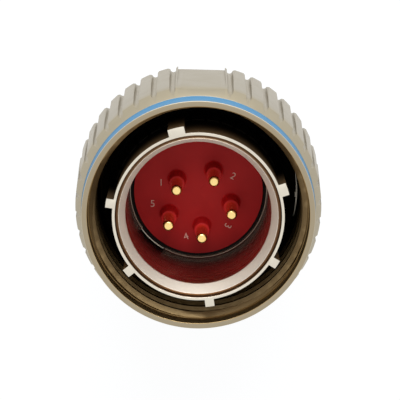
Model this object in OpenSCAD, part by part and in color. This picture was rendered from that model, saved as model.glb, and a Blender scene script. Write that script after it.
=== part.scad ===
// Circular connector plug: a keyed barrel with five pin contacts, inside a threaded coupling
// ring that turns on the shell and is held by a ratchet.
// The axis is Z. The mating end points up and the plug stands on its wire end at z = 0.
// Angles called "clock" are counted clockwise from +Y, looking at the mating end.

/* [Shell] */
// Length of the shell from its wire end to the rim of the barrel
plug_len = 31; // [30:0.5:34]
// Radius of the bore that holds the insert
bore_r = 10.03; // [9.6:0.01:10.4]
// Wall of the barrel that enters the mating half
barrel_wall = 1.73; // [1.6:0.01:2]
// Width of the flat land on the rim of the barrel
rim_land_w = 0.38; // [0.26:0.02:0.5]
// Width of the groove between the land and the edge of the flared mouth
rim_groove_w = 0.5; // [0.4:0.02:0.6]
// Depth of that groove at its outer wall
rim_groove_d = 0.8; // [0.6:0.05:1]
// Depth of the flared mouth's edge below the rim
flare_edge_d = 0.42; // [0.2:0.02:0.5]
// Length of the flare along the axis, from its edge into the bore
flare_h = 1.93; // [1:0.01:4]
// Height of the land that the coupling ring turns on, above the accessory thread
seat_rise = 0.4; // [0.2:0.02:0.6]
// Height of the flange that the coupling ring pulls on, above that land
flange_h = 1; // [0.8:0.05:1.3]
// Thickness of the flange
flange_t = 1.3; // [1:0.1:1.8]

/* [Keys] */
// Height of the polarising keys above the barrel
key_h = 0.98; // [0.6:0.02:1.1]
// Distance between the keys and the ground ring
key_gap = 0.9; // [0.3:0.1:3]
// Width of the wide master key
master_key_w = 2.25; // [1.6:0.05:3]
// Width of the second widest key
second_key_w = 1.7; // [1.2:0.05:2.2]
// Width of each narrow key
key_w = 1.25; // [0.8:0.05:1.8]

/* [Wire end] */
// Outer radius of the accessory thread, M25 x 1
acc_thread_r = 12.5; // [12:0.05:13]
// Length of the accessory thread
acc_thread_len = 8.4; // [6:0.2:10]
// Length of the relief between the accessory thread and the ring's seat
relief_len = 0.8; // [0.5:0.1:1.2]
// Depth of the relief below the thread's outer radius
relief_d = 0.7; // [0.4:0.05:0.9]
// Height of the accessory thread above the toothed end
tooth_step = 0.8; // [0.5:0.05:1]
// Number of teeth that lock an accessory against turning
tooth_count = 40; // [24:2:48]
// Depth of the notches between the teeth
tooth_depth = 0.7; // [0.4:0.05:0.9]
// Width of each notch at the end face
tooth_gap_w = 1; // [0.6:0.05:1.1]
// Height of the lip inside the bore that stops the insert at the wire end
rear_lip_h = 0.88; // [0.6:0.02:1.2]
// Thickness of that lip along the axis
rear_lip_t = 2.6; // [1.8:0.1:3]

/* [Coupling ring] */
// Gap between the flange and the chamber that surrounds it
chamber_gap = 0.4; // [0.2:0.02:0.6]
// Depth of the coupling thread's root beyond that chamber
thread_root_h = 0.8; // [0.6:0.02:1]
// Depth of the smooth lead-in beyond the thread's root
mouth_h = 0.11; // [0.05:0.01:0.3]
// Wall of the front lip
lip_wall = 0.75; // [0.6:0.01:1.2]
// Height of the gripping lobes above the lip
grip_h = 1.89; // [1.4:0.01:2.4]
// How far the lip lies behind the rim of the barrel
lip_setback = 0.4; // [0.2:0.1:1.5]
// Length of the land at the lip, in front of the colour band
lip_land = 0.3; // [0.2:0.05:0.6]
// Width of the colour band along the axis
band_w = 2.6; // [1.5:0.1:3.5]
// Depth of the recess that holds the band's paint
band_d = 0.08; // [0.04:0.02:0.2]
// Length of the cone between the band and the full radius
cone_len = 2.5; // [1.5:0.1:8]
// Drop of the lobes' radius from the wire end of the ring to the cone
grip_taper = 0.7; // [0:0.05:0.8]
// Chamfer at the wire end of the ring
rear_chamfer = 0.6; // [0.3:0.1:1]
// Depth of the mouth's smooth lead-in, before the thread
lead_in_len = 2.3; // [1.5:0.1:3]
// Angle between neighbouring grip grooves
groove_pitch = 9; // [6:1:12]
// Width of a grip groove at its floor
groove_w = 0.5; // [0.4:0.05:0.9]
// Depth of a grip groove
groove_d = 0.85; // [0.5:0.05:1.1]
// Width that the edges of a groove fall away on each side
groove_flare = 0.24; // [0.1:0.02:0.5]
// Width of the flat that marks the top of the ring, between its two thin ridges
flat_w = 6.8; // [5:0.1:9]
// Depth of that flat below the lobes
flat_d = 0.8; // [0.4:0.05:1]
// Lean of that flat towards the lip, in degrees
flat_lean = 0.9; // [0:0.1:2]
// Clock angle of the flat
ring_turn = 1.5; // [-4:0.5:4]
// Thickness of the inner web that pushes on the flange
web_t = 1.3; // [1:0.1:1.8]

/* [Ring bearing and ratchet] */
// Radial clearance between the ring's web and its seat on the shell
run_clear = 0.05; // [0.02:0.01:0.09]
// End play of the coupling ring between the washers
end_play = 0.04; // [0.02:0.01:0.1]
// Thickness of the snap ring that holds the coupling ring on
snap_t = 0.8; // [0.6:0.05:1]
// Depth of the snap ring's groove in the shell
snap_groove_d = 0.6; // [0.4:0.05:0.7]
// How far the snap ring lies inside the wire end of the coupling ring
snap_inset = 0.9; // [0.5:0.1:1.5]
// Height of the wave washer between the snap ring and the web
wave_h = 0.7; // [0.5:0.05:1]
// Thickness of the wave washer's strip
wave_t = 0.22; // [0.15:0.01:0.3]
// Thickness of the thrust washer
thrust_t = 0.4; // [0.3:0.05:0.6]
// Thickness of the ratchet ring
ratchet_t = 1.7; // [1.4:0.1:2]
// Number of teeth on the ratchet ring, a multiple of the number of leaf springs
ratchet_teeth = 36; // [24:3:48]
// Height of the ratchet ring's teeth
ratchet_tooth_h = 0.3; // [0.2:0.02:0.36]
// How far the ratchet ring's teeth lie below the flange
ratchet_inset = 0.15; // [0.05:0.01:0.3]
// Half of the angle that each leaf spring spans
leaf_half_angle = 27; // [20:1:32]
// Thickness of a leaf spring
leaf_t = 0.3; // [0.2:0.02:0.34]
// Radius of the nub that clicks over the teeth
nub_r = 0.45; // [0.36:0.02:0.5]

/* [Seal and ground ring] */
// Section radius of the rubber ring that seals against the mating shell
gasket_r = 0.7; // [0.5:0.05:0.8]
// Number of fingers on the ground ring
finger_count = 36; // [24:2:44]
// Length of the ground ring along the axis
finger_len = 3.8; // [2.5:0.1:4]
// Height of the fingers' bow above the barrel
finger_bow = 1.15; // [0.8:0.05:1.4]
// Thickness of the ground ring's strip
finger_t = 0.15; // [0.1:0.01:0.2]
// Width of the slots between fingers
finger_slot_w = 0.45; // [0.3:0.05:0.7]

/* [Insert] */
// Depth of the insert's face below the rim
face_depth = 15.8; // [15:0.1:16.4]
// Gap between the insert's face and the bore
face_gap = 0.68; // [0.6:0.01:0.9]
// Thickness of the rubber face
face_t = 0.9; // [0.7:0.05:1.2]
// How far the rubber face stands in front of the insert's shoulder
face_proud = 0.5; // [0.3:0.05:0.6]
// Distance from the rubber face to the joint between the two hard inserts
front_insert_len = 6.6; // [6:0.1:7.5]
// Thickness of the rear hard insert
rear_insert_t = 2.4; // [2:0.1:2.6]
// Height of the raised collar around each pin
boss_h = 3.3; // [1:0.1:3.6]
// Wall of that collar at its tip
boss_wall = 0.476; // [0.3:0.002:0.6]
// How much wider the collar is at the face
boss_taper = 0.18; // [0:0.01:0.3]
// Recess between the wire end and the rubber grommet
grommet_inset = 1.2; // [0.8:0.1:1.8]
// Radial clearance of the inserts in the bore
insert_clear = 0.03; // [0.01:0.01:0.06]
// Thickness of the split ring that holds the insert
split_ring_t = 0.8; // [0.6:0.05:1]
// Radial width of the split ring
split_ring_w = 0.57; // [0.5:0.01:0.64]
// Depth of the split ring's groove in the bore
split_groove_d = 0.42; // [0.3:0.02:0.5]
// Angle of the gap in the split ring
split_gap = 26; // [8:1:40]
// Clock angle of the middle of that gap
split_gap_at = 223; // [0:1:359]

/* [Contacts] */
// Radius of the circle that the contacts stand on
contact_circle_r = 4.5; // [4.2:0.05:4.7]
// Distance of that circle's centre from the axis, away from the master key
contact_shift = 1; // [0:0.05:1.1]
// Radius of a size 16 pin
pin_r = 0.794; // [0.7:0.002:0.84]
// Length of a pin in front of the insert's face
pin_proud = 7.9; // [6:0.1:9]
// Length of the rounded nose of a pin
nose_h = 0.45; // [0.2:0.05:0.8]
// Radius taken off the tip of a pin
nose_w = 0.294; // [0.15:0.002:0.4]
// Height of the collar that locks a contact, above the pin
collar_step = 0.506; // [0.4:0.002:0.54]
// Length of that collar
collar_h = 1.7; // [1.2:0.1:1.8]
// Height of the neck behind the collar, above the pin
neck_step = 0.156; // [0.05:0.002:0.2]
// Length of the neck
neck_h = 2; // [1.9:0.1:2.2]
// How far the crimp barrel lies below the collar
crimp_step = 0.08; // [0.02:0.01:0.2]
// Length of the crimp barrel
crimp_h = 6; // [5:0.1:6.4]
// Wall of the crimp barrel
crimp_wall = 0.37; // [0.3:0.01:0.5]
// Depth of the hole for the wire
wire_h = 5.2; // [4:0.1:5.2]
// Radius of the inspection hole in the crimp barrel
sight_r = 0.35; // [0.2:0.05:0.5]
// Ledge that the clip stands on, around the rear cavity
clip_ledge = 0.32; // [0.25:0.01:0.4]
// Thickness of the clip's strip
clip_t = 0.13; // [0.08:0.01:0.16]
// Length of the clip
clip_h = 2.9; // [2.6:0.1:3]
// Width of the slots between the clip's tines
tine_slot_w = 0.4; // [0.2:0.05:0.6]

/* [Hidden] */
$fn = 96;

// Keys as [clock angle, width]. The first is the master key.
KEYS = [[-13.9, master_key_w], [71.7, second_key_w], [121.7, key_w], [172.7, key_w],
        [231.4, key_w], [279.2, key_w]];
// The insert arrangement: each contact as [clock angle about the circle's centre,
// distance outside the contact circle].
CONTACTS = [[-47, -0.3], [28, 0.2], [98, 0.25], [173, -0.4], [242, 0.3]];

// Number of leaf springs in the coupling ring
leaf_count = 3;

// Overshoot of cutting solids
cut = 0.5;
// Fit between parts that are seated and don't move
seat_gap = 0.02;

// Radii of the shell and the ring, from the bore and the accessory thread outwards
barrel_r = bore_r + barrel_wall;
key_r = barrel_r + key_h;
tooth_r = acc_thread_r - tooth_step;
rear_lip_r = bore_r - rear_lip_h;
seat_r = acc_thread_r + seat_rise;
flange_r = seat_r + flange_h;
ratchet_r = flange_r - ratchet_inset;
chamber_r = flange_r + chamber_gap;
thread_root_r = chamber_r + thread_root_h;
mouth_r = thread_root_r + mouth_h;
lip_r = mouth_r + lip_wall;
crest_r = lip_r + grip_h;

// Radii of the insert and the contacts, from the bore and the pin outwards
face_r = bore_r - face_gap;
boss_tip_r = pin_r + boss_wall;
boss_base_r = boss_tip_r + boss_taper;
nose_r = pin_r - nose_w;
neck_r = pin_r + neck_step;
collar_r = pin_r + collar_step;
cavity_r = collar_r + 0.04;
clip_r = cavity_r + clip_ledge;
crimp_r = collar_r - crimp_step;
wire_r = crimp_r - crimp_wall;

// Stations along the axis, from the wire end
z_thread_end = tooth_depth + acc_thread_len;
z_seat = z_thread_end + relief_len;
z_ring_rear = z_seat + 0.3;
z_snap = z_ring_rear + snap_inset;
z_wave = z_snap + snap_t;
z_web = z_wave + wave_h;
z_web_top = z_web + web_t;
z_thrust = z_web_top + end_play;
z_ratchet = z_thrust + thrust_t;
z_flange = z_ratchet + ratchet_t;
z_flange_top = z_flange + flange_t;
z_ground = z_flange_top + 2 * gasket_r + 0.1;
z_key = z_ground + finger_len + key_gap;
z_lip = plug_len - lip_setback;
z_band_top = z_lip - lip_land;
z_band = z_band_top - band_w;
z_full = z_band - cone_len;
z_thread_top = z_lip - lead_in_len;
z_chamber_top = z_flange_top - 0.3;
z_face = plug_len - face_depth;
z_shoulder = z_face - face_proud;
z_face_floor = z_face - face_t;
z_split = z_face - front_insert_len;
z_rear_insert = z_split - rear_insert_t;
z_collar_top = z_face_floor - 1.5;
z_collar = z_collar_top - collar_h;
z_neck = z_collar - neck_h;
z_crimp = z_neck - crimp_h;
z_clip = z_collar - clip_h;
z_tine = z_clip + 0.45 * clip_h;

// Radii that follow from the fits
insert_r = bore_r - insert_clear;
snap_groove_r = seat_r - snap_groove_d;
snap_outer_r = chamber_r - 0.4;
split_groove_r = bore_r + split_groove_d;
split_outer_r = split_groove_r - seat_gap;
clip_bore_r = clip_r + seat_gap;
land_r = barrel_r - rim_land_w;
flare_r = land_r - rim_groove_w;
flat_half_angle = asin(flat_w / 2 / crest_r);

// Leaf spring: an arc from the pocket wall at both ends, inward to the ratchet at its middle
leaf_end_r = thread_root_r - leaf_t - 0.05;
leaf_mid_r = ratchet_r + 0.4;
leaf_end_x = leaf_end_r * cos(leaf_half_angle);
leaf_end_y = leaf_end_r * sin(leaf_half_angle);
leaf_c = (leaf_end_x * leaf_end_x + leaf_end_y * leaf_end_y - leaf_mid_r * leaf_mid_r)
    / (2 * (leaf_end_x - leaf_mid_r));
leaf_r = leaf_mid_r - leaf_c;
nub_tip_r = ratchet_r - ratchet_tooth_h + 0.05;

// Colours
PLATED = [0.80, 0.77, 0.70];
OLIVE = [0.66, 0.62, 0.51];
SPRING = [0.72, 0.70, 0.64];
RED = [0.62, 0.07, 0.08];
DARK = [0.10, 0.10, 0.11];
GOLD = [0.89, 0.70, 0.33];
BRONZE = [0.62, 0.45, 0.24];

// A ring between two radii
module tube(outer, inner, z, h) {
    translate([0, 0, z]) difference() {
        cylinder(r = outer, h = h);
        translate([0, 0, -cut]) cylinder(r = inner, h = h + 2 * cut);
    }
}

// Turns its children from +Y to a clock angle
module at_clock(angle) {
    rotate([0, 0, -angle]) children();
}

// Puts its children at each contact's place
function contact_x(i) = (contact_circle_r + CONTACTS[i][1]) * sin(CONTACTS[i][0]);
function contact_y(i) =
    (contact_circle_r + CONTACTS[i][1]) * cos(CONTACTS[i][0]) - contact_shift;
module at_contact(i) {
    translate([contact_x(i), contact_y(i), 0]) children();
}
module at_each_contact() {
    for (i = [0 : len(CONTACTS) - 1]) at_contact(i) children();
}

// Outer form of the shell, turned from bar
module shell_blank() {
    rotate_extrude() polygon([
        [0, 0],
        [tooth_r, 0],
        [tooth_r, tooth_depth],
        [acc_thread_r, tooth_depth + acc_thread_r - tooth_r],
        [acc_thread_r, z_thread_end],
        [acc_thread_r - relief_d, z_thread_end],
        [acc_thread_r - relief_d, z_seat],
        [seat_r, z_seat],
        [seat_r, z_snap - seat_gap],
        [snap_groove_r, z_snap - seat_gap],
        [snap_groove_r, z_wave],
        [seat_r, z_wave],
        [seat_r, z_flange],
        [flange_r, z_flange],
        [flange_r, z_flange_top],
        [barrel_r, z_flange_top],
        [barrel_r, plug_len],
        [0, plug_len]]);
}

// Bore of the shell, from the wire end to the flared mouth and the groove around it
module shell_bore() {
    rotate_extrude() polygon([
        [0, -cut],
        [rear_lip_r + 0.4, -cut],
        [rear_lip_r + 0.4, 0],
        [rear_lip_r, 0.4],
        [rear_lip_r, rear_lip_t],
        [bore_r, rear_lip_t],
        [bore_r, z_shoulder - seat_gap],
        [split_groove_r, z_shoulder - seat_gap],
        [split_groove_r, z_shoulder + split_ring_t + seat_gap],
        [bore_r, z_shoulder + split_ring_t + seat_gap],
        [bore_r, plug_len - flare_edge_d - flare_h],
        [flare_r, plug_len - flare_edge_d],
        [land_r, plug_len - rim_groove_d],
        [land_r, plug_len + cut],
        [0, plug_len + cut]]);
}

// One polarising key, rooted in the barrel wall
module barrel_key(width) {
    root_r = barrel_r - barrel_wall / 2;
    translate([0, 0, z_key]) intersection() {
        cylinder(r = key_r, h = plug_len - z_key);
        translate([-width / 2, root_r, 0]) cube([width, key_r - root_r, plug_len - z_key]);
    }
}

// Notches in the end face, which lock an accessory against turning
module end_notches() {
    for (i = [0 : tooth_count - 1])
        rotate([0, 0, i * 360 / tooth_count]) rotate([90, 0, 0])
            translate([0, 0, -tooth_r - cut]) linear_extrude(tooth_r + cut - rear_lip_r + cut)
                polygon([[-tooth_gap_w * 0.5, -0.01], [-tooth_gap_w * 0.2, tooth_depth],
                         [tooth_gap_w * 0.2, tooth_depth], [tooth_gap_w * 0.5, -0.01]]);
}

module plug_shell() {
    color(PLATED) difference() {
        union() {
            shell_blank();
            for (k = KEYS) at_clock(k[0]) barrel_key(k[1]);
        }
        shell_bore();
        end_notches();
    }
}

// Outer form of the coupling ring: lip, recessed band, cone, grip
module ring_blank() {
    rotate_extrude() polygon([
        [0, z_ring_rear],
        [crest_r - rear_chamfer, z_ring_rear],
        [crest_r, z_ring_rear + rear_chamfer],
        [crest_r - grip_taper, z_full],
        [lip_r, z_band],
        [lip_r - band_d, z_band],
        [lip_r - band_d, z_band_top],
        [lip_r, z_band_top],
        [lip_r, z_lip - 0.15],
        [lip_r - 0.15, z_lip],
        [0, z_lip]]);
}

// Bore of the coupling ring: snap ring recess, web, ratchet chamber, thread, lead-in
module ring_bore() {
    rotate_extrude() polygon([
        [0, z_ring_rear - cut],
        [chamber_r, z_ring_rear - cut],
        [chamber_r, z_web],
        [seat_r + run_clear, z_web],
        [seat_r + run_clear, z_web_top],
        [chamber_r, z_web_top],
        [chamber_r, z_chamber_top],
        [thread_root_r, z_chamber_top + thread_root_r - chamber_r],
        [thread_root_r, z_thread_top],
        [mouth_r, z_thread_top],
        [mouth_r, z_lip - 0.12],
        [mouth_r + 0.12, z_lip],
        [mouth_r + 0.12, z_lip + cut],
        [0, z_lip + cut]]);
}

// One grip groove with eased edges, at +Y. It runs out on the cone
module grip_groove() {
    floor_r = crest_r - groove_d;
    translate([0, 0, z_ring_rear - cut]) linear_extrude(z_lip - z_ring_rear + cut)
        polygon([
            [-groove_w / 2, floor_r],
            [groove_w / 2, floor_r],
            [groove_w / 2 + groove_flare * 0.3, crest_r - groove_flare * 0.7],
            [groove_w / 2 + groove_flare, crest_r],
            [groove_w / 2 + groove_flare, crest_r + cut],
            [-groove_w / 2 - groove_flare, crest_r + cut],
            [-groove_w / 2 - groove_flare, crest_r],
            [-groove_w / 2 - groove_flare * 0.3, crest_r - groove_flare * 0.7]]);
}

// Pocket in the chamber wall for one leaf spring, at +X
module leaf_pocket() {
    half = leaf_half_angle + 2;
    reach = thread_root_r + cut;
    translate([0, 0, z_ratchet - 0.1]) intersection() {
        tube(thread_root_r, ratchet_r, 0, ratchet_t + 0.1);
        linear_extrude(ratchet_t + 0.1)
            polygon([[0, 0], [reach, -reach * tan(half)], [2 * reach, 0],
                     [reach, reach * tan(half)]]);
    }
}

module coupling_ring() {
    color(OLIVE) at_clock(ring_turn) difference() {
        ring_blank();
        ring_bore();
        for (i = [0 : 360 / groove_pitch - 1]) {
            angle = (i + 0.5) * groove_pitch;
            if (angle > flat_half_angle && angle < 360 - flat_half_angle)
                at_clock(angle) grip_groove();
        }
        translate([-flat_w / 2, crest_r - flat_d, z_ring_rear]) rotate([flat_lean, 0, 0])
            translate([0, 0, -cut]) cube([flat_w, flat_d + cut, z_lip - z_ring_rear]);
        for (i = [0 : leaf_count - 1]) rotate([0, 0, i * 360 / leaf_count]) leaf_pocket();
    }
}

// Toothed ring pressed on the shell behind the flange
module ratchet_ring() {
    step = 360 / ratchet_teeth;
    root = ratchet_r - ratchet_tooth_h;
    color(SPRING) at_clock(ring_turn) translate([0, 0, z_ratchet]) difference() {
        linear_extrude(ratchet_t) polygon([
            for (i = [0 : ratchet_teeth - 1], k = [0 : 3])
                let (a = (i + [-0.16, 0.16, 0.34, 0.66][k]) * step,
                     r = [root, root, ratchet_r, ratchet_r][k])
                [r * cos(a), r * sin(a)]]);
        translate([0, 0, -cut]) cylinder(r = seat_r, h = ratchet_t + 2 * cut);
    }
}

// Leaf spring in its pocket, with the nub that sits between two ratchet teeth
module ratchet_spring(i) {
    height = ratchet_t - 0.2;
    reach = 2 * leaf_r;
    color(SPRING) at_clock(ring_turn) rotate([0, 0, i * 360 / leaf_count])
        translate([0, 0, z_ratchet + 0.05]) linear_extrude(height) union() {
            intersection() {
                translate([leaf_c, 0]) difference() {
                    circle(r = leaf_r + leaf_t);
                    circle(r = leaf_r);
                }
                polygon([[0, 0], [reach, -reach * tan(leaf_half_angle)],
                         [reach, reach * tan(leaf_half_angle)]]);
            }
            translate([nub_tip_r + nub_r, 0]) circle(r = nub_r);
        }
}

module thrust_washer() {
    color(BRONZE) tube(flange_r - 0.3, seat_r + seat_gap, z_thrust, thrust_t);
}

// Wave washer: a flat strip bent into three waves
module wave_washer() {
    waves = 3;
    steps = 48;
    inner = seat_r + 0.06;
    outer = snap_outer_r;
    middle = z_wave + wave_h / 2;
    swing = (wave_h - wave_t) / 2 - 0.02;
    function wave_point(i, k) =
        let (a = i * 360 / steps,
             r = [inner, outer, outer, inner][k],
             z = middle + swing * sin(waves * a) + [-0.5, -0.5, 0.5, 0.5][k] * wave_t)
        [r * cos(a), r * sin(a), z];
    color(SPRING) polyhedron(
        points = [for (i = [0 : steps - 1], k = [0 : 3]) wave_point(i, k)],
        faces = [for (i = [0 : steps - 1], k = [0 : 3])
            let (j = (i + 1) % steps, n = (k + 1) % 4)
            each [[4 * i + k, 4 * i + n, 4 * j + n], [4 * i + k, 4 * j + n, 4 * j + k]]]);
}

// Snap ring in the shell's groove, behind the coupling ring's web
module ring_retainer() {
    color(SPRING) translate([0, 0, z_snap]) rotate([0, 0, 70]) rotate_extrude(angle = 340)
        translate([snap_groove_r, 0]) square([snap_outer_r - snap_groove_r, snap_t - seat_gap]);
}

module peripheral_seal() {
    color(RED) translate([0, 0, z_flange_top + gasket_r]) rotate_extrude()
        translate([barrel_r + gasket_r, 0]) circle(r = gasket_r, $fn = 32);
}

// Ground ring: a sprung strip around the barrel, slotted into bowed fingers
module ground_ring() {
    foot = barrel_r;
    bow = barrel_r + finger_bow;
    t = finger_t;
    color(SPRING) translate([0, 0, z_ground]) difference() {
        rotate_extrude() polygon([
            [foot, 0],
            [foot + t, 0],
            [foot + t, finger_len * 0.2],
            [bow, finger_len * 0.52],
            [bow, finger_len * 0.66],
            [foot + t + 0.1, finger_len],
            [foot + 0.1, finger_len],
            [bow - t, finger_len * 0.64],
            [bow - t, finger_len * 0.54],
            [foot, finger_len * 0.24]]);
        for (i = [0 : finger_count - 1])
            rotate([0, 0, (i + 0.5) * 360 / finger_count])
                translate([foot - cut, -finger_slot_w / 2, finger_len * 0.22])
                    cube([finger_bow + 2 * cut, finger_slot_w, finger_len]);
    }
}

// Soft face of the insert, with a raised collar around each pin
module interface_seal() {
    color(RED) difference() {
        union() {
            translate([0, 0, z_face_floor]) cylinder(r = face_r, h = face_t);
            at_each_contact() translate([0, 0, z_face - 0.1])
                cylinder(r1 = boss_base_r, r2 = boss_tip_r, h = boss_h + 0.1);
        }
        at_each_contact() translate([0, 0, z_face_floor - cut])
            cylinder(r = pin_r, h = face_t + boss_h + 2 * cut);
    }
}

// Front hard insert: shoulder under the split ring, and the cavities for collars and clips
module front_insert() {
    color(DARK) difference() {
        translate([0, 0, z_split]) cylinder(r = insert_r, h = z_shoulder - z_split);
        translate([0, 0, z_face_floor]) cylinder(r = face_r, h = face_t);
        at_each_contact() {
            translate([0, 0, z_split - cut])
                cylinder(r = clip_bore_r, h = z_collar - z_split + cut);
            translate([0, 0, z_collar - 0.01])
                cylinder(r = cavity_r, h = collar_h + seat_gap + 0.01);
            translate([0, 0, z_collar]) cylinder(r = pin_r + seat_gap, h = z_face - z_collar);
        }
    }
}

// Rear hard insert, which closes the clips into their cavities
module rear_insert() {
    color(DARK) difference() {
        translate([0, 0, z_rear_insert]) cylinder(r = insert_r, h = rear_insert_t);
        at_each_contact() {
            translate([0, 0, z_rear_insert - cut]) cylinder(r = cavity_r, h = rear_insert_t + cut);
            translate([0, 0, z_clip]) cylinder(r = clip_bore_r, h = z_split - z_clip + cut);
        }
    }
}

// Rubber grommet that seals on the wires, with a raised rim around each hole
module rear_grommet() {
    nose_r = rear_lip_r - 0.05;
    rim_h = 0.3;
    color([0.24, 0.25, 0.26]) difference() {
        union() {
            translate([0, 0, rear_lip_t])
                cylinder(r = insert_r, h = z_rear_insert - rear_lip_t);
            translate([0, 0, grommet_inset + rim_h])
                cylinder(r = nose_r, h = rear_lip_t - grommet_inset);
            at_each_contact() translate([0, 0, grommet_inset])
                cylinder(r1 = 1.55, r2 = 1.8, h = rim_h + 0.01);
        }
        at_each_contact() {
            translate([0, 0, grommet_inset - cut])
                cylinder(r = wire_r + 0.05, h = z_crimp - grommet_inset + 2 * cut);
            translate([0, 0, grommet_inset - 0.01])
                cylinder(r1 = wire_r + 0.35, r2 = wire_r + 0.05, h = 0.6);
            translate([0, 0, z_crimp]) cylinder(r = crimp_r, h = z_rear_insert - z_crimp + cut);
        }
    }
}

// Split ring that snaps into the bore and holds the insert's shoulder
module insert_retaining_ring() {
    color(SPRING) translate([0, 0, z_shoulder])
        rotate([0, 0, 90 - split_gap_at + split_gap / 2])
            rotate_extrude(angle = 360 - split_gap)
                translate([split_outer_r - split_ring_w, 0])
                    square([split_ring_w, split_ring_t]);
}

// Pin contact: nosed pin, locking collar, neck and crimp barrel with its inspection hole
module contact(i) {
    tip = z_face + pin_proud;
    color(GOLD) at_contact(i) difference() {
        rotate_extrude() polygon([
            [0, z_crimp],
            [crimp_r, z_crimp],
            [crimp_r, z_neck],
            [neck_r, z_neck],
            [neck_r, z_collar],
            [collar_r, z_collar],
            [collar_r, z_collar_top],
            [pin_r, z_collar_top],
            [pin_r, tip - nose_h],
            [nose_r * 0.4 + pin_r * 0.6, tip - nose_h * 0.35],
            [nose_r, tip],
            [0, tip]]);
        translate([0, 0, z_crimp - cut]) cylinder(r = wire_r, h = wire_h + cut);
        translate([0, 0, z_crimp + wire_h - sight_r - 0.2]) rotate([90, 0, 0])
            cylinder(r = sight_r, h = crimp_r + cut);
    }
}

// Clip: a sprung sleeve whose tines stop the contact's collar from backing out
module contact_clip(i) {
    inner = clip_r - clip_t;
    color(BRONZE) at_contact(i) difference() {
        rotate_extrude() polygon([
            [inner, z_clip],
            [clip_r, z_clip],
            [clip_r, z_collar],
            [inner, z_collar],
            [inner, z_tine + 0.3],
            [neck_r + 0.14, z_collar - 0.02],
            [neck_r + 0.04, z_collar - 0.02],
            [inner, z_tine]]);
        for (turn = [0, 90]) intersection() {
            translate([0, 0, z_clip - cut]) cylinder(r = inner, h = clip_h + 2 * cut);
            rotate([0, 0, turn]) translate([-clip_r, -tine_slot_w / 2, z_clip - cut])
                cube([2 * clip_r, tine_slot_w, clip_h + 2 * cut]);
        }
    }
}

plug_shell();
coupling_ring();
ratchet_ring();
ratchet_spring(0);  // ratchet_spring_1
ratchet_spring(1);  // ratchet_spring_2
ratchet_spring(2);  // ratchet_spring_3
thrust_washer();
wave_washer();
ring_retainer();
peripheral_seal();
ground_ring();
interface_seal();
front_insert();
rear_insert();
rear_grommet();
insert_retaining_ring();
contact(0);  // contact_1
contact(1);  // contact_2
contact(2);  // contact_3
contact(3);  // contact_4
contact(4);  // contact_5
contact_clip(0);  // contact_clip_1
contact_clip(1);  // contact_clip_2
contact_clip(2);  // contact_clip_3
contact_clip(3);  // contact_clip_4
contact_clip(4);  // contact_clip_5
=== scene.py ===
import math

import bpy
from mathutils import Matrix, Vector


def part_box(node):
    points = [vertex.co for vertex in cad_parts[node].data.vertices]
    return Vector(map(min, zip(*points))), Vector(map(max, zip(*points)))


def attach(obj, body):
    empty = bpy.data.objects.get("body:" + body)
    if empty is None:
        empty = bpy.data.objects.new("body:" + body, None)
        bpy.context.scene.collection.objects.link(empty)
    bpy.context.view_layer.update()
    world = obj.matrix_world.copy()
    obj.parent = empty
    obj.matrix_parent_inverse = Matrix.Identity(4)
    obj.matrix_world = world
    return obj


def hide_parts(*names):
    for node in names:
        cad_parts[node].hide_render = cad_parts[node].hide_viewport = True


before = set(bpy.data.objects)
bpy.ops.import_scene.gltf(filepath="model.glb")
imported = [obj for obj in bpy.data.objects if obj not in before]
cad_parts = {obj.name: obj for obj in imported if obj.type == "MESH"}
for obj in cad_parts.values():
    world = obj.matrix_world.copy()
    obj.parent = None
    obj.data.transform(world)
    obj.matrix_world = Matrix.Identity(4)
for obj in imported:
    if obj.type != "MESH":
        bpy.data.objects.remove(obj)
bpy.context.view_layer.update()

# ---- Table, light and camera ---------------------------------------------------------------
# The plug stands on its wire end on a plain white table, under a large soft box behind it and
# a pale surround. The camera looks down into the mating end, a little from the flat's side.
mm = 0.001
lip_centre = Vector((0, 0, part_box("coupling_ring")[1].z))


def shade(red, green, blue):
    """A colour given as it looks on a screen, from 0 to 255, as the shader's own numbers."""
    parts = [c / 255 for c in (red, green, blue)]
    return [c / 12.92 if c < 0.04 else ((c + 0.055) / 1.055) ** 2.4 for c in parts] + [1]


class Socket:
    """A socket in a material's nodes. Arithmetic on it adds Math nodes, node() adds any other."""

    def __init__(self, tree, link=None):
        self.tree = tree
        self.link = link

    def node(self, kind, settings, sockets, output=0):
        made = self.tree.nodes.new(kind)
        for key, value in settings.items():
            setattr(made, key, value)
        for key, value in sockets.items():
            if isinstance(value, Socket):
                self.tree.links.new(value.link, made.inputs[key])
            else:
                made.inputs[key].default_value = value
        return Socket(self.tree, made.outputs[output]) if made.outputs else None

    def math(self, operation, *values):
        return self.node("ShaderNodeMath", {"operation": operation}, dict(enumerate(values)))

    def __add__(self, other):
        return self.math("ADD", self, other)

    __radd__ = __add__

    def __sub__(self, other):
        return self.math("SUBTRACT", self, other)

    def __rsub__(self, other):
        return self.math("SUBTRACT", other, self)

    def __mul__(self, other):
        return self.math("MULTIPLY", self, other)

    __rmul__ = __mul__

    def __truediv__(self, other):
        return self.math("DIVIDE", self, other)

    def __pow__(self, other):
        return self.math("POWER", self, other)

    def step(self, low, high):
        """0 below low, 1 above high, and smooth between them."""
        return self.node("ShaderNodeMapRange", {"interpolation_type": "SMOOTHSTEP"},
                         {"Value": self, "From Min": low, "From Max": high})

    def mix(self, factor, first, second):
        return self.node("ShaderNodeMix", {"data_type": "RGBA"},
                         {0: factor, 6: first, 7: second}, 2)


def new_material(name):
    material = bpy.data.materials.new(name)
    material.use_nodes = True
    material.node_tree.nodes.clear()
    return material, Socket(material.node_tree)


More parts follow.
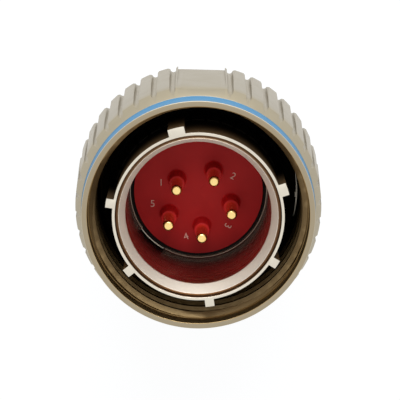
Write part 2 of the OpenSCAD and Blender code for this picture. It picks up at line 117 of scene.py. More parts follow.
def show_background(nodes):
    """1 where the camera, a gloss or a clear material looks, 0 where light falls."""
    camera_ray = nodes.node("ShaderNodeLightPath", {}, {}, 0)
    gloss_ray = nodes.node("ShaderNodeLightPath", {}, {}, 3)
    clear_ray = nodes.node("ShaderNodeLightPath", {}, {}, 6)
    return nodes.math("MAXIMUM", nodes.math("MAXIMUM", camera_ray, gloss_ray), clear_ray)


world = bpy.data.worlds.new("Surround")
world.use_nodes = True
world.node_tree.nodes.clear()
bpy.context.scene.world = world
surround_strength = 0.62
air = Socket(world.node_tree)
seen = show_background(air)
lit = air.node("ShaderNodeBackground", {}, {"Color": shade(246, 244, 240),
                                            "Strength": surround_strength})
white = air.node("ShaderNodeBackground", {}, {"Color": (1, 1, 1, 1), "Strength": 1.0})
both = air.node("ShaderNodeMixShader", {}, {0: seen, 1: lit, 2: white})
air.node("ShaderNodeOutputWorld", {}, {"Surface": both})

bpy.ops.mesh.primitive_plane_add(size=4, location=(0, 0, 0))
table = bpy.context.object
table.name = "table"
# The share of plain white that the camera sees in the table. The rest takes the shadow.
plain_white = 0.86
paper, nodes = new_material("white_table")
seen = show_background(nodes)
matt = nodes.node("ShaderNodeBsdfDiffuse", {}, {"Color": shade(230, 238, 250)})
bright = nodes.node("ShaderNodeEmission", {}, {"Color": (1, 1, 1, 1), "Strength": 1.07})
both = nodes.node("ShaderNodeMixShader", {}, {0: seen * plain_white, 1: matt, 2: bright})
nodes.node("ShaderNodeOutputMaterial", {}, {"Surface": both})
table.data.materials.append(paper)


def soft_box(name, place, aim, size, power):
    lamp = bpy.data.lights.new(name, "AREA")
    lamp.shape = "DISK"
    lamp.size = size
    lamp.energy = power
    made = bpy.data.objects.new(name, lamp)
    bpy.context.scene.collection.objects.link(made)
    made.location = place
    made.rotation_euler = (aim - made.location).to_track_quat("-Z", "Y").to_euler()


soft_box("key_box", Vector((0.02, 0.42, 0.24)), lip_centre, 0.42, 2.6)

scene = bpy.context.scene
scene.view_settings.view_transform = "Standard"
camera = bpy.data.objects.new("camera", bpy.data.cameras.new("camera"))
scene.collection.objects.link(camera)
scene.camera = camera
distance = 220 * mm
tilt = math.radians(13.5)
back = Vector((0, math.sin(tilt), math.cos(tilt)))
right = Vector((1, 0, 0))
up = back.cross(right)
camera.data.lens = 145.4
camera.data.sensor_width = 36
camera.data.clip_start = 0.01
# The mouth of the ring lies a little below the middle of the view.
aim = lip_centre + right * 0.23 * mm + up * 2.29 * mm
camera.matrix_world = (Matrix.Translation(aim + back * distance)
                       @ Matrix((right, up, back)).transposed().to_4x4())

# ---- Coupling ring -------------------------------------------------------------------------
# The threaded ring that the hand turns, turned from aluminium bar and milled with grip
# grooves and one flat. It is plated a dull olive tan, with a blue band painted behind its lip.
ring_low, ring_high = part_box("coupling_ring")
ring_foot = ring_low.z / mm
lip_z = ring_high.z / mm
crest_r = 17.85
rear_chamfer = 0.6
taper = 0.7
cone_len = 2.5
lip_r = 15.96
lip_step = 0.08
band_foot_r = 16.12
band_z = (lip_z - 2.9, lip_z - 0.3)
full_z = band_z[0] - cone_len
mouth_r = 15.21
thread_top = lip_z - 2.3
thread_root_r = 15.1
chamber_r = 14.3
chamber_top = 17.04
web_r = 12.95
web_z = (12.6, 13.9)
ring_edge = 0.035
turn_steps = 480
weld = 0.0001 * mm


def nothing_selected():
    bpy.ops.object.select_all(action="DESELECT")


def turned(name, outline, steps, ease=0.0):
    """Draws a closed outline of (radius, height) in mm and spins it about the axis."""
    nothing_selected()
    bpy.ops.mesh.primitive_plane_add(size=mm)
    piece = bpy.context.object
    piece.name = name
    bpy.ops.object.mode_set(mode="EDIT")
    bpy.context.tool_settings.mesh_select_mode = (True, False, False)
    bpy.ops.mesh.merge(type="CENTER")
    bpy.ops.transform.translate(value=(outline[0][0] * mm, 0, outline[0][1] * mm))
    for here, there in zip(outline, outline[1:] + outline[:1]):
        move = ((there[0] - here[0]) * mm, 0, (there[1] - here[1]) * mm)
        bpy.ops.mesh.extrude_region_move(TRANSFORM_OT_translate={"value": move})
    bpy.ops.mesh.select_all(action="SELECT")
    bpy.ops.mesh.remove_doubles(threshold=weld)
    if ease:
        bpy.ops.mesh.bevel(offset=ease * mm, segments=3, affect="VERTICES")
    bpy.ops.mesh.select_all(action="SELECT")
    bpy.ops.mesh.spin(steps=steps, angle=2 * math.pi, center=(0, 0, 0), axis=(0, 0, 1))
    bpy.ops.mesh.select_all(action="SELECT")
    bpy.ops.mesh.remove_doubles(threshold=weld)
    bpy.ops.mesh.normals_make_consistent(inside=False)
    bpy.ops.object.mode_set(mode="OBJECT")
    return piece


def prism(name, outline, low, high):
    """A closed outline of (x, y) in mm, raised from one height to another."""
    nothing_selected()
    bpy.ops.mesh.primitive_plane_add(size=mm)
    piece = bpy.context.object
    piece.name = name
    bpy.ops.object.mode_set(mode="EDIT")
    bpy.context.tool_settings.mesh_select_mode = (True, False, False)
    bpy.ops.mesh.merge(type="CENTER")
    bpy.ops.transform.translate(value=(outline[0][0] * mm, outline[0][1] * mm, low * mm))
    for here, there in zip(outline, outline[1:] + outline[:1]):
        move = ((there[0] - here[0]) * mm, (there[1] - here[1]) * mm, 0)
        bpy.ops.mesh.extrude_region_move(TRANSFORM_OT_translate={"value": move})
    bpy.ops.mesh.select_all(action="SELECT")
    bpy.ops.mesh.remove_doubles(threshold=weld)
    bpy.ops.mesh.select_all(action="SELECT")
    bpy.ops.mesh.edge_face_add()
    bpy.ops.mesh.extrude_region_move(
        TRANSFORM_OT_translate={"value": (0, 0, (high - low) * mm)})
    bpy.ops.mesh.select_all(action="SELECT")
    bpy.ops.mesh.normals_make_consistent(inside=False)
    bpy.ops.object.mode_set(mode="OBJECT")
    return piece


def only(piece):
    nothing_selected()
    piece.select_set(True)
    bpy.context.view_layer.objects.active = piece


def copied_round(piece, copies, angle):
    """Repeats a piece's mesh clockwise about the axis."""
    only(piece)
    bpy.ops.object.mode_set(mode="EDIT")
    bpy.ops.mesh.select_all(action="SELECT")
    bpy.ops.mesh.spin(steps=copies - 1, dupli=True, angle=math.radians(angle * (copies - 1)),
                      center=(0, 0, 0), axis=(0, 0, 1))
    bpy.ops.object.mode_set(mode="OBJECT")


def turn_about_axis(piece, clock):
    """Turns a piece clockwise about the axis, as seen from the mating end."""
    only(piece)
    piece.rotation_euler.z = -math.radians(clock)
    bpy.ops.object.transform_apply(rotation=True)


def combine(piece, other, operation):
    """Cuts, adds or keeps what another mesh covers, and takes that mesh away."""
    only(piece)
    tool = piece.modifiers.new("tool", "BOOLEAN")
    tool.operation = operation
    tool.solver = "MANIFOLD"
    tool.object = other
    bpy.ops.object.modifier_apply(modifier="tool")
    bpy.data.objects.remove(other)


def joined(first, *others):
    only(first)
    for piece in others:
        piece.select_set(True)
    bpy.ops.object.join()
    return first


def arc(centre, radius, start, end, points):
    """Points on a round corner, from one angle to another in degrees."""
    made = []
    for i in range(points):
        angle = math.radians(start + (end - start) * i / (points - 1))
        made.append((centre[0] + radius * math.cos(angle), centre[1] + radius * math.sin(angle)))
    return made


ring = turned("ring_body", [
    (crest_r - rear_chamfer, ring_foot), (crest_r, ring_foot + rear_chamfer),
    (crest_r - taper, full_z), (band_foot_r + lip_step, band_z[0]),
    (band_foot_r, band_z[0]), (lip_r - lip_step, band_z[1]),
    (lip_r, band_z[1]), (lip_r, lip_z), (mouth_r, lip_z), (mouth_r, thread_top),
    (thread_root_r, thread_top), (thread_root_r, chamber_top + thread_root_r - chamber_r),
    (chamber_r, chamber_top), (chamber_r, web_z[1]), (web_r, web_z[1]), (web_r, web_z[0]),
    (chamber_r, web_z[0]), (chamber_r, ring_foot)], turn_steps, ease=ring_edge)

# The grooves are cut with a round-nosed cutter. The flat takes the place of two of them.
groove_floor = crest_r - 0.8
groove_half = 0.42
groove_lean = 1.4
groove_pitch = 9
grooves = 360 // groove_pitch - 2
shoulder_r = 0.2
shoulder_y = crest_r - 0.3
mouth_half = groove_half + 0.35
flat_half = 3.4
flat_y = crest_r - 0.8
flat_lean = 0.9
ring_clock = 1.5
cut_y = crest_r + 0.6
cut_foot = ring_foot - 0.5
right_side = (arc((0, groove_floor + groove_half), groove_half, -90, 0, 10)
              + arc((groove_half + shoulder_r, shoulder_y), shoulder_r, 180, 90, 5)
              + [(mouth_half, crest_r + 0.1), (mouth_half, cut_y)])
left_side = [(-x, y) for x, y in reversed(right_side[1:])]
groove = prism("groove_cutter", right_side + left_side, cut_foot, lip_z)


def leaned(piece, foot_y, degrees):
    """Leans a cutter towards the axis about its foot, to follow the ring's taper."""
    only(piece)
    foot = Matrix.Translation((0, foot_y * mm, ring_foot * mm))
    lean = Matrix.Rotation(math.radians(degrees), 4, "X")
    piece.matrix_world = foot @ lean @ foot.inverted()
    bpy.ops.object.transform_apply(location=True, rotation=True)


leaned(groove, groove_floor, groove_lean)
turn_about_axis(groove, 1.5 * groove_pitch)
copied_round(groove, grooves, groove_pitch)
flat = prism("flat_cutter", [(-flat_half, flat_y), (flat_half, flat_y), (flat_half, cut_y),
                             (-flat_half, cut_y)], cut_foot, lip_z)
leaned(flat, flat_y, flat_lean)
combine(ring, joined(groove, flat), "DIFFERENCE")


def thread_ridge(name, outline, pitch, turns, steps):
    """A ridge of that outline, in (radius, height), wound up a right-hand helix."""
    nothing_selected()
    bpy.ops.mesh.primitive_plane_add(size=mm)
    piece = bpy.context.object
    piece.name = name
    bpy.ops.object.mode_set(mode="EDIT")
    bpy.ops.mesh.merge(type="CENTER")
    bpy.ops.transform.translate(value=(outline[0][0] * mm, 0, outline[0][1] * mm))
    for here, there in zip(outline, outline[1:] + outline[:1]):
        move = ((there[0] - here[0]) * mm, 0, (there[1] - here[1]) * mm)
        bpy.ops.mesh.extrude_region_move(TRANSFORM_OT_translate={"value": move})
    bpy.ops.mesh.select_all(action="SELECT")
    bpy.ops.mesh.remove_doubles(threshold=weld)
    bpy.ops.object.mode_set(mode="OBJECT")
    helix = piece.modifiers.new("helix", "SCREW")
    helix.axis = "Z"
    helix.angle = 2 * math.pi * turns
    helix.screw_offset = pitch * turns * mm
    helix.steps = round(steps * turns)
    helix.render_steps = helix.steps
    bpy.ops.object.modifier_apply(modifier="helix")
    bpy.ops.object.mode_set(mode="EDIT")
    bpy.ops.mesh.select_all(action="SELECT")
    bpy.ops.mesh.fill_holes(sides=0)
    bpy.ops.mesh.select_all(action="SELECT")
    bpy.ops.mesh.normals_make_consistent(inside=False)
    bpy.ops.object.mode_set(mode="OBJECT")
    return piece


# The triple-start thread runs out of the chamber and fades below the mouth.
ridge_r = 14.4
ridge_foot = 15.4
ridge_width = 1.4
crest_width = 0.6
buried_depth = 0.3
lead = 7.62
starts = 3
thread_turns = 2.0
thread_clock = -86
flank = (ridge_width - 0.1 - crest_width) / 2
crest_z = ridge_foot + 0.05 + flank
ridge = thread_ridge("coupling_thread", [
    (thread_root_r + buried_depth, ridge_foot), (thread_root_r, ridge_foot + 0.05),
    (ridge_r, crest_z), (ridge_r, crest_z + crest_width),
    (thread_root_r, ridge_foot + ridge_width - 0.05),
    (thread_root_r + buried_depth, ridge_foot + ridge_width)], lead, thread_turns, 144)
copied_round(ridge, starts, 360 / starts)
reach = turned("thread_reach", [
    (ridge_r - 0.3, chamber_top + 0.8), (thread_root_r + 0.2, chamber_top + 0.8),
    (thread_root_r + 0.2, thread_top + 0.05), (thread_root_r, thread_top + 0.05),
    (ridge_r - 0.3, thread_top - 0.8)], 144)
combine(ridge, reach, "INTERSECT")
turn_about_axis(ridge, thread_clock)
combine(ring, ridge, "UNION")
turn_about_axis(ring, ring_clock)
only(ring)
bpy.ops.object.shade_smooth_by_angle(angle=math.radians(30))


def place_on_object(nodes):
    """Height, radius and angle of a surface point, in mm and radians, and its position."""
    place = nodes.node("ShaderNodeTexCoord", {}, {}, 3)
    x = place.node("ShaderNodeSeparateXYZ", {}, {0: place}, 0) / mm
    y = place.node("ShaderNodeSeparateXYZ", {}, {0: place}, 1) / mm
    z = place.node("ShaderNodeSeparateXYZ", {}, {0: place}, 2) / mm
    radius = (x * x + y * y) ** 0.5
    return z, radius, x.math("ARCTAN2", y, x), place


def noise(place, size, detail=2.0):
    """Cloudy noise from 0 to 1, with patches about size mm across."""
    return place.node("ShaderNodeTexNoise", {}, {"Vector": place, "Scale": 1 / (size * mm),
                                                 "Detail": detail})


def bumps(height, depth):
    """The surface raised by height, from 0 to 1, times depth mm."""
    return height.node("ShaderNodeBump", {}, {"Height": height, "Distance": depth * mm})


def metal(nodes, **sockets):
    surface = nodes.node("ShaderNodeBsdfPrincipled", {}, {"Metallic": 1.0, **sockets})
    nodes.node("ShaderNodeOutputMaterial", {}, {"Surface": surface})


def between(value, low, high, edge):
    """1 from low to high and 0 beyond them, over a soft edge."""
    return value.step(low - edge, low + edge) * (1 - value.step(high - edge, high + edge))


olive, nodes = new_material("olive_tan_plating")
z, radius, angle, place = place_on_object(nodes)
lobe = shade(175, 168, 153)
cone = shade(172, 162, 139)
rim = shade(163, 150, 126)
# Painted highlight: a pale colour for the lip's outer edge, where it catches the light.
lip_edge_highlight = shade(192, 184, 166)
# Painted shade: the ring's inside is coloured darker than its outside.
inside = shade(132, 109, 72)
# Painted light: a lighter colour for the mouth wall below the lip.
mouth = shade(178, 150, 104)
# Painted light: a lighter colour for the thread ridges near the mouth.
ridge_flank_light = shade(150, 128, 92)
# Painted shade: a near-black colour for the deep chamber.
chamber = shade(36, 25, 12)
blue = shade(44, 112, 152)
cloud = noise(place, 2.5)
grain = noise(place, 0.12, 3.0)
colour = nodes.mix(z.step(full_z - 2.5, full_z + 0.5), lobe, cone)
colour = nodes.mix(z.step(band_z[1] - 0.1, band_z[1] + 0.1), colour, rim)
colour = nodes.mix(cloud.step(0.35, 0.75) * 0.25, colour, shade(160, 150, 128))
# A painted highlight along the lip's outer edge.
lip_highlight_mask = radius.step(lip_r - 0.07, lip_r - 0.03) * z.step(band_z[1] - 0.05, band_z[1])
colour = nodes.mix(lip_highlight_mask, colour, lip_edge_highlight)
within = 1 - radius.step(mouth_r + 0.03, mouth_r + 0.07)
# Painted shade: inside the mouth the ring takes the darker colour.
colour = nodes.mix(within, colour, inside)
# Painted light: the mouth wall is lightened.
colour = nodes.mix(within * z.step(thread_top, thread_top + 0.7), colour, mouth)
on_ridge = within * (1 - radius.step(thread_root_r - 0.1, thread_root_r - 0.03))
# Painted light on the thread ridges near the mouth.
colour = nodes.mix(on_ridge * z.step(22.0, 26.0), colour, ridge_flank_light)
# Painted shade: the inside turns near black deeper down in the ring.
colour = nodes.mix(within * (1 - z.step(17.5, 27.0)), colour, chamber)
on_band = between(z, band_z[0], band_z[1], 0.03) * radius.step(mouth_r + 0.3, mouth_r + 0.4)
metal(nodes, **{
    "Base Color": nodes.mix(on_band, colour, blue),
    "Metallic": 1 - on_band,
    "Roughness": 0.42 + grain * 0.12 - within * 0.12 + on_ridge * 0.1,
    "Normal": bumps(grain, 0.006)})
ring.data.materials.clear()
ring.data.materials.append(olive)
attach(ring, "coupling")
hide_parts("coupling_ring")

# ---- Shell ---------------------------------------------------------------------------------
# The plug's body, turned from aluminium bar and nickel plated. Six keys stand on its barrel,
# its wire end has an accessory thread and forty teeth, and its bore holds the insert.
shell_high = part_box("plug_shell")[1].z / mm
barrel_r = 11.76
land_r = barrel_r - 0.38
edge_r = land_r - 0.5
rim_groove_d = 1.0
bore_r = 10.03
flare_d = 2.35
step_r = 9.15
step_z = 2.6
entry = 0.4
split_groove_r = 10.45
split_groove_z = (14.68, 15.52)
tooth_r = 11.7
tooth_d = 0.7
core_r = 11.88
thread_r = 12.5
thread_end = 9.1
relief_r = 11.8
seat_r = 12.9
seat_z = 9.9
snap_groove_r = 12.3
snap_groove_z = (11.08, 11.9)
flange_r = 13.9
flange_z = (16.04, 17.34)
shell_edge = 0.04
shell = turned("shell_body", [
    (step_r + entry, 0), (tooth_r, 0), (tooth_r, tooth_d),
    (core_r, tooth_d + core_r - tooth_r), (core_r, thread_end), (relief_r, thread_end),
    (relief_r, seat_z), (seat_r, seat_z), (seat_r, snap_groove_z[0]),
    (snap_groove_r, snap_groove_z[0]), (snap_groove_r, snap_groove_z[1]),
    (seat_r, snap_groove_z[1]), (seat_r, flange_z[0]), (flange_r, flange_z[0]),
    (flange_r, flange_z[1]), (barrel_r, flange_z[1]), (barrel_r, shell_high),
    (land_r, shell_high), (land_r, shell_high - rim_groove_d),
    (land_r - 0.06, shell_high - rim_groove_d), (land_r - 0.06, shell_high - 0.66),
    (edge_r, shell_high - 0.3), (edge_r - 0.06, shell_high - 0.46),
    (bore_r, shell_high - flare_d), (bore_r, split_groove_z[1]),
    (split_groove_r, split_groove_z[1]), (split_groove_r, split_groove_z[0]),
    (bore_r, split_groove_z[0]), (bore_r, step_z), (step_r, step_z), (step_r, entry)],
    turn_steps, ease=shell_edge)

# Each key has its clock position and its width. The first is the wide master key.
key_r = 12.74
key_foot = 23.54
keys = None
for clock, width in ((-13.9, 2.25), (71.7, 1.7), (121.7, 1.25), (172.7, 1.25), (231.4, 1.25),
                     (279.2, 1.25)):
    half = width / 2
    bar = prism("key_bar", [(-half, land_r + 0.1), (half, land_r + 0.1), (half, key_r + 0.5),
                            (-half, key_r + 0.5)], key_foot, shell_high)
    turn_about_axis(bar, clock)
    keys = bar if keys is None else joined(keys, bar)
round_bar = turned("key_round", [(land_r - 0.2, key_foot - 1), (key_r, key_foot - 1),
                                 (key_r, shell_high + 1), (land_r - 0.2, shell_high + 1)],
                   turn_steps)
combine(keys, round_bar, "INTERSECT")
only(keys)
soften = keys.modifiers.new("soften", "BEVEL")
soften.width = 0.05 * mm
soften.segments = 2
soften.limit_method = "ANGLE"
bpy.ops.object.modifier_apply(modifier="soften")
combine(shell, keys, "UNION")

teeth = 40
tooth_gap = prism("tooth_gap", [(-0.5, -0.01), (0.5, -0.01), (0.2, tooth_d),
                                (-0.2, tooth_d)], 0, 4)
only(tooth_gap)
tooth_gap.rotation_euler.x = math.radians(90)
tooth_gap.location = (0, 12.5 * mm, 0)
bpy.ops.object.transform_apply(location=True, rotation=True)
copied_round(tooth_gap, teeth, 360 / teeth)
combine(shell, tooth_gap, "DIFFERENCE")

pitch = 1.0
crest_half = pitch / 16
root_half = 0.42
buried_half = 0.52
ridge = thread_ridge("accessory_thread", [
    (core_r - 0.2, -buried_half), (core_r, -root_half), (thread_r + 0.02, -crest_half),
    (thread_r + 0.02, crest_half), (core_r, root_half), (core_r - 0.2, buried_half)],
    pitch, 10, 120)
reach_r = tooth_r - 0.05
reach_z = tooth_d - 0.05
reach = turned("thread_reach", [
    (reach_r, reach_z), (thread_r, reach_z + thread_r - reach_r),
    (thread_r, thread_end - 0.25), (thread_r - 0.25, thread_end), (reach_r, thread_end)], 240)
combine(ridge, reach, "INTERSECT")
combine(shell, ridge, "UNION")
only(shell)
bpy.ops.object.shade_smooth_by_angle(angle=math.radians(30))

nickel, nodes = new_material("nickel_plating")
z, radius, angle, place = place_on_object(nodes)
plain = shade(220, 213, 198)
dulled = shade(206, 197, 180)
# Painted light: a near-white colour for the flare inside the rim.
flare_light = shade(238, 232, 220)
# Painted reflection and shade in the bore: a pinkish red for the red face it reflects, darker
# deeper down, darkest by the split ring.
bore_reflection = shade(175, 135, 115)
bore_deep_shade = shade(110, 62, 52)
bore_foot_shade = shade(48, 18, 16)
# Painted shade for the rim's groove, darker at its foot.
groove_shade = shade(158, 132, 106)
groove_deep_shade = shade(70, 54, 38)
# Painted shade for the barrel's outer wall under the coupling ring, near black deeper in.
barrel_shade = shade(120, 98, 72)
barrel_deep_shade = shade(26, 20, 14)
flare_z = shell_high - flare_d
marks = nodes.node("ShaderNodeCombineXYZ", {}, {0: radius * 9.0, 1: z * 9.0, 2: angle * 0.6})
turning = nodes.node("ShaderNodeTexNoise", {}, {"Vector": marks, "Scale": 1.0, "Detail": 3.0})
cloud = noise(place, 1.8)
grain = noise(place, 0.1, 3.0)
colour = nodes.mix(cloud.step(0.3, 0.8) * 0.3, plain, dulled)
in_mouth = z.step(flare_z - 0.65, flare_z - 0.05)
flare = radius.step(bore_r, bore_r + 0.06) * (1 - radius.step(edge_r, edge_r + 0.04)) * in_mouth
# Painted light on the flare.
colour = nodes.mix(flare, colour, flare_light)
in_bore = 1 - radius.step(bore_r + 0.02, bore_r + 0.08)
in_bore = in_bore * (1 - z.step(flare_z - 0.25, flare_z + 0.05))
# Painted reflection of the red face in the bore, then painted shade deeper down and by the split
# ring.
colour = nodes.mix(in_bore * 0.9, colour, bore_reflection)
colour = nodes.mix(in_bore * (1 - z.step(17.0, 27.0)) * 0.8, colour, bore_deep_shade)
colour = nodes.mix(in_bore * (1 - z.step(16.2, 19.5)), colour, bore_foot_shade)
in_groove = radius.step(edge_r + 0.02, edge_r + 0.05) * in_mouth
in_groove = in_groove * (1 - radius.step(land_r, land_r + 0.02))
below_land = 1 - z.step(shell_high - 0.15, shell_high - 0.03)
# Painted shade in the rim's groove.
colour = nodes.mix(in_groove * below_land, colour, groove_shade)
low = 1 - z.step(shell_high - 0.75, shell_high - 0.65)
colour = nodes.mix(in_groove * low, colour, groove_deep_shade)
outside = radius.step(barrel_r - 0.05, barrel_r - 0.02) * z.step(16.5, 17.2)
outside = outside * (1 - z.step(shell_high - 0.25, shell_high - 0.05))
# Painted shade on the barrel's outer wall under the ring.
colour = nodes.mix(outside, colour, barrel_shade)
buried = outside * (1 - z.step(24.0, 30.5))
colour = nodes.mix(buried, colour, barrel_deep_shade)
metal(nodes, **{
    "Base Color": colour,
    "Roughness": 0.36 + turning * 0.1 + flare * 0.18 - in_bore * 0.14 + outside * 0.1
                 + buried * 0.3,
    "Normal": bumps((turning * 0.7 + grain * 0.3) * (1 - in_bore * 0.8), 0.005)})
shell.data.materials.clear()
shell.data.materials.append(nickel)
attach(shell, "shell")
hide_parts("plug_shell")

# ---- Rubber face ---------------------------------------------------------------------------
# The soft red face of the insert, moulded silicone rubber with a raised collar around each
# pin that seals on the mating half. Small numbers are printed beside the pins.
face_z = 15.2
face_t = 0.9
face_r = 9.35
pin_r = 0.794
boss_tip = 18.5
boss_r = 1.2
boss_tip_r = 1.13
foot = 0.35
circle_r = 4.5
circle_y = -1.0
places = []
for clock, offset in ((-47, -0.3), (28, 0.2), (98, 0.25), (173, -0.4), (242, 0.3)):
    reach_out = circle_r + offset
    places.append((reach_out * math.sin(math.radians(clock)),
                   reach_out * math.cos(math.radians(clock)) + circle_y))
face = turned("rubber_face", [(0.001, face_z - face_t), (face_r, face_z - face_t),
                              (face_r, face_z), (0.001, face_z)], 192, ease=0.0005)
collar = turned("collar", [(pin_r, face_z - 0.2), (boss_r + foot + 0.05, face_z - 0.2)]
                + arc((boss_r + foot, face_z + foot), foot, 270, 180, 9)
                + [(boss_tip_r, boss_tip - 0.14), (boss_tip_r - 0.03, boss_tip - 0.05),
                   (boss_tip_r - 0.1, boss_tip), (pin_r, boss_tip)], 64)


def set_at_places(first):
    """Copies a piece for each pin, and moves each copy to its place."""
    made = [first]
    for _ in places[1:]:
        only(first)
        bpy.ops.object.duplicate()
        made.append(bpy.context.object)
    for piece, (x, y) in zip(made, places):
        only(piece)
        piece.location = (x * mm, y * mm, 0)
        bpy.ops.object.transform_apply(location=True)
    return made


face = joined(face, *set_at_places(collar))
only(face)
bpy.ops.object.shade_smooth_by_angle(angle=math.radians(35))


def moulded(nodes, colour, roughness, gloss, relief, depth):
    surface = nodes.node("ShaderNodeBsdfPrincipled", {}, {
        "Base Color": colour, "Roughness": roughness, "Specular IOR Level": gloss,
        "Normal": bumps(relief, depth)})
    nodes.node("ShaderNodeOutputMaterial", {}, {"Surface": surface})


red, nodes = new_material("red_silicone")
z, radius, angle, place = place_on_object(nodes)
cloud = noise(place, 3.0)
grain = noise(place, 0.15, 3.0)
y = place.node("ShaderNodeSeparateXYZ", {}, {0: place}, 1) / mm
colour = nodes.mix(cloud.step(0.3, 0.8) * 0.3, shade(212, 28, 34), shade(194, 20, 26))
# Painted shade: the face darkens towards its −y side.
colour = nodes.mix((1 - y.step(-9.5, -4.0)) * 0.8, colour, shade(146, 12, 18))
moulded(nodes, colour, 0.52 + grain * 0.1, 0.35, grain, 0.004)
face.data.materials.clear()
face.data.materials.append(red)
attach(face, "shell")
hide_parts("interface_seal")

ink, nodes = new_material("pale_ink")
z, radius, angle, place = place_on_object(nodes)
patch = noise(place, 0.25)
colour = nodes.mix(patch.step(0.3, 0.7), shade(255, 222, 214), shade(244, 190, 182))
surface = nodes.node("ShaderNodeBsdfPrincipled", {}, {"Base Color": colour, "Roughness": 0.6})
nodes.node("ShaderNodeOutputMaterial", {}, {"Surface": surface})
number_size = 1.45
for number, x, y, clock in ((1, -5.42, 1.22, 0), (2, 5.03, 2.19, 30), (3, 4.27, -5.21, 115),
                            (4, -1.80, -6.86, -20), (5, -6.67, -1.91, 0)):
    nothing_selected()
    bpy.ops.object.text_add(location=(0, 0, 0))
    mark = bpy.context.object
    mark.name = "number_%d" % number
    mark.data.body = str(number)
    mark.data.align_x = "CENTER"
    mark.data.align_y = "CENTER"
    mark.data.size = number_size * mm
    mark.data.extrude = 0.006 * mm
    bpy.ops.object.convert(target="MESH")
    mark = bpy.context.object
    mark.rotation_euler.z = -math.radians(clock)
    mark.location = (x * mm, y * mm, (face_z + 0.004) * mm)
    bpy.ops.object.transform_apply(location=True, rotation=True)
    mark.data.materials.clear()
    mark.data.materials.append(ink)
    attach(mark, "shell")

# ---- Contacts ------------------------------------------------------------------------------
# Five size 16 pin contacts, turned from copper alloy and gold plated. Each has a rounded
# nose, a locking collar, a neck and a crimp barrel with an inspection hole.
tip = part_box("contact_1")[1].z / mm
crimp_r = 1.22
crimp_bore_r = 0.85
crimp_z = 3.1
neck_r = 0.95
neck_z = (9.1, 11.1)
collar_r = 1.3
collar_top = 12.8
bore_end = 8.3
sight_r = 0.35
pin = turned("pin", [
    (crimp_bore_r, crimp_z), (crimp_r, crimp_z), (crimp_r, neck_z[0]), (neck_r, neck_z[0]),
    (neck_r, neck_z[1]), (collar_r, neck_z[1]), (collar_r, collar_top), (pin_r, collar_top),
    (pin_r, tip - 0.62), (pin_r - 0.03, tip - 0.38), (pin_r - 0.1, tip - 0.18),
    (pin_r - 0.19, tip - 0.06), (pin_r - 0.29, tip), (0.001, tip), (0.001, bore_end),
    (crimp_bore_r, bore_end)], 64)
hole = turned("sight_hole", [(0.001, -2), (sight_r, -2), (sight_r, 0), (0.001, 0)], 32)
only(hole)
hole.rotation_euler.x = math.radians(-90)
hole.location = (0, 0, (bore_end - 0.55) * mm)
bpy.ops.object.transform_apply(location=True, rotation=True)
combine(pin, hole, "DIFFERENCE")
only(pin)
bpy.ops.object.shade_smooth_by_angle(angle=math.radians(30))

gold, nodes = new_material("gold_plating")
z, radius, angle, place = place_on_object(nodes)
marks = nodes.node("ShaderNodeCombineXYZ", {}, {0: z * 14.0, 1: radius * 0.3})
turning = nodes.node("ShaderNodeTexNoise", {}, {"Vector": marks, "Scale": 1.0})
cloud = noise(place, 0.7)
colour = nodes.mix(cloud.step(0.3, 0.8) * 0.4, shade(252, 222, 150), shade(240, 202, 120))
metal(nodes, **{"Base Color": colour, "Roughness": 0.18 + turning * 0.08,
                "Normal": bumps(turning, 0.001)})
pin.data.materials.clear()
pin.data.materials.append(gold)
for number, piece in enumerate(set_at_places(pin), start=1):
    piece.name = "pin_%d" % number
    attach(piece, "shell")
    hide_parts("contact_%d" % number)

# ---- Springs, washers and split rings ------------------------------------------------------
# Small parts of spring steel and bronze inside the ring and the bore, stamped from strip or
# bent from wire. The slotted ground ring at the barrel's foot is coloured near black, as painted
# shade. All of them keep the shapes of the model and get a drawn-strip finish.


def strip_colour(place, bright, dull):
    """Bright strip with cloudy dull patches."""
    return place.mix(noise(place, 0.8).step(0.3, 0.8) * 0.4, bright, dull)


def drawn(nodes, place, colour, roughness):
    grain = noise(place, 0.08, 3.0)
    metal(nodes, **{"Base Color": colour, "Roughness": roughness + grain * 0.15,
                    "Normal": bumps(grain, 0.003)})


def finish_nodes(material, *names):
    """Gives parts of the model their finish."""
    for name in names:
        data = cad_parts[name].data
        data.materials.clear()
        data.materials.append(material)


steel, nodes = new_material("spring_steel")
z, radius, angle, place = place_on_object(nodes)
drawn(nodes, place, strip_colour(place, shade(214, 205, 188), shade(190, 180, 160)), 0.3)
finish_nodes(steel, "ratchet_ring", "ratchet_spring_1", "ratchet_spring_2",
             "ratchet_spring_3", "wave_washer", "ring_retainer")

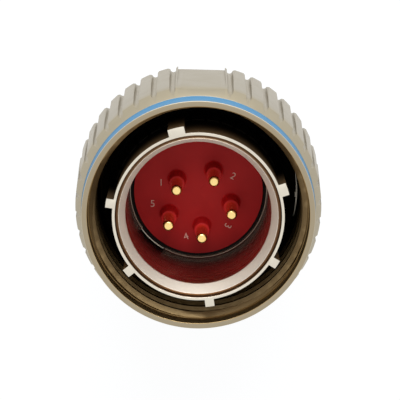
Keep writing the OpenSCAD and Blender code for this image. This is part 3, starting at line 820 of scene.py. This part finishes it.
bronze, nodes = new_material("spring_bronze")
z, radius, angle, place = place_on_object(nodes)
drawn(nodes, place, strip_colour(place, shade(205, 160, 100), shade(170, 125, 75)), 0.34)
finish_nodes(bronze, "thrust_washer", "contact_clip_1", "contact_clip_2", "contact_clip_3",
             "contact_clip_4", "contact_clip_5")

# The split ring is coloured dark as painted shade, with a painted highlight on its inner edge.
dull, nodes = new_material("dull_spring_wire_painted_shade")
z, radius, angle, place = place_on_object(nodes)
split_ring_shade = strip_colour(place, shade(84, 40, 34), shade(70, 32, 28))
inner_edge_highlight = 1 - radius.step(9.9, 9.98)
drawn(nodes, place, nodes.mix(inner_edge_highlight, split_ring_shade, shade(200, 182, 164)), 0.45)
finish_nodes(dull, "insert_retaining_ring")

ground_ring_shade, nodes = new_material("steel_painted_shade")
z, radius, angle, place = place_on_object(nodes)
grain = noise(place, 0.08, 3.0)
# Painted shade: a near-black colour for the ground ring, which sits in shade.
colour = nodes.mix(grain, shade(20, 17, 14), shade(30, 26, 22))
metal(nodes, **{"Base Color": colour, "Roughness": 0.55 + grain * 0.1,
                "Normal": bumps(grain, 0.003)})
finish_nodes(ground_ring_shade, "ground_ring")

# ---- Inserts, grommet and seal -------------------------------------------------------------
# The hard inserts are moulded from dark thermoset. The grommet that seals on the wires is
# grey rubber, and the ring seal under the ground ring is black rubber.
hard, nodes = new_material("dark_thermoset")
z, radius, angle, place = place_on_object(nodes)
grain = noise(place, 0.1, 3.0)
colour = nodes.mix(noise(place, 1.5), shade(16, 14, 13), shade(24, 21, 20))
moulded(nodes, colour, 0.6 + grain * 0.15, 0.2, grain, 0.004)
finish_nodes(hard, "front_insert", "rear_insert")

grey, nodes = new_material("grey_rubber")
z, radius, angle, place = place_on_object(nodes)
grain = noise(place, 0.12, 3.0)
colour = nodes.mix(noise(place, 1.5), shade(74, 78, 80), shade(90, 93, 94))
moulded(nodes, colour, 0.65 + grain * 0.15, 0.5, grain, 0.006)
finish_nodes(grey, "rear_grommet")

black, nodes = new_material("black_rubber")
z, radius, angle, place = place_on_object(nodes)
grain = noise(place, 0.12, 3.0)
colour = nodes.mix(grain, shade(14, 12, 11), shade(22, 19, 17))
moulded(nodes, colour, 0.7 + grain * 0.1, 0.15, grain, 0.004)
finish_nodes(black, "peripheral_seal")
